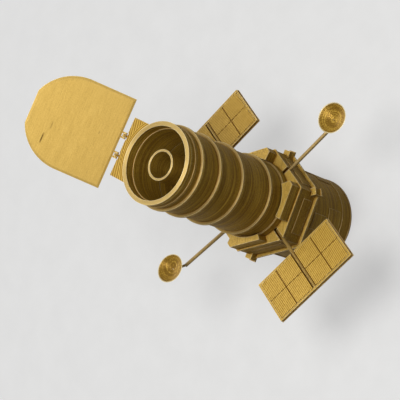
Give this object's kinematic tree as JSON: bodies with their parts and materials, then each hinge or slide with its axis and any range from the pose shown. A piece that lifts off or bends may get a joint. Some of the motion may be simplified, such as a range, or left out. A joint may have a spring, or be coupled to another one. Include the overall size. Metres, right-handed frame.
{
  "type": "printed space telescope satellite model",
  "caption": "Desk model of a space telescope satellite: open tube with hinged door, hexagonal bay section, drum base, swivelling solar arrays and dish antennas on masts.",
  "frame": {"origin": "centre of the flat aft face that the model stands on", "axes": "+Z along the tube towards the aperture; +X and -X along the solar array masts; +Y along one antenna mast"},
  "size_m": [0.1274, 0.1415, 0.1763],
  "materials": {
    "printed_gold": "silk gold printed plastic with fine layer lines",
    "printed_cells": "silk gold printed plastic, diagonal extrusion hatch on its top face",
    "printed_pin": "silk gold filament pin"
  },
  "bodies": {
    "telescope_body": {"aft_bulkhead": "printed_gold", "aft_shroud": "printed_gold", "equipment_section": "printed_gold", "bay_block_1": "printed_gold", "bay_block_2": "printed_gold", "bay_block_3": "printed_gold", "bay_block_4": "printed_gold", "forward_tube": "printed_gold", "light_shield": "printed_gold", "tube_floor": "printed_gold", "central_baffle": "printed_gold", "hinge_bracket": "printed_gold", "hinge_pins": "printed_pin"},
    "door": {"aperture_door": "printed_gold"},
    "array_1": {"array_mast_1": "printed_gold", "array_frame_1": "printed_gold", "array_cells_1": "printed_cells"},
    "array_2": {"array_mast_2": "printed_gold", "array_frame_2": "printed_gold", "array_cells_2": "printed_cells"},
    "antenna_1": {"antenna_mast_1": "printed_gold", "antenna_post_1": "printed_gold", "antenna_dish_1": "printed_gold"},
    "antenna_2": {"antenna_mast_2": "printed_gold", "antenna_post_2": "printed_gold", "antenna_dish_2": "printed_gold"}
  },
  "joints": [
    {"name": "door_hinge", "type": "hinge", "parent": "telescope_body", "child": "door", "pos_m": [-0.02356, -0.01099, 0.1421], "axis": [0.4226, -0.9063, 0], "range_deg": [-134.6, 25.4]},
    {"name": "array_swivel_1", "type": "hinge", "parent": "telescope_body", "child": "array_1", "pos_m": [0.03, 0, 0.05465], "axis": [1, 0, 0], "continuous": true},
    {"name": "array_swivel_2", "type": "hinge", "parent": "telescope_body", "child": "array_2", "pos_m": [-0.03, 0, 0.05465], "axis": [-1, 0, 0], "continuous": true},
    {"name": "antenna_swivel_1", "type": "hinge", "parent": "telescope_body", "child": "antenna_1", "pos_m": [0, 0.03, 0.05465], "axis": [0, 1, 0], "continuous": true},
    {"name": "antenna_swivel_2", "type": "hinge", "parent": "telescope_body", "child": "antenna_2", "pos_m": [-0.00235, -0.02991, 0.05465], "axis": [-0.0785, -0.9969, 0], "continuous": true}
  ]
}
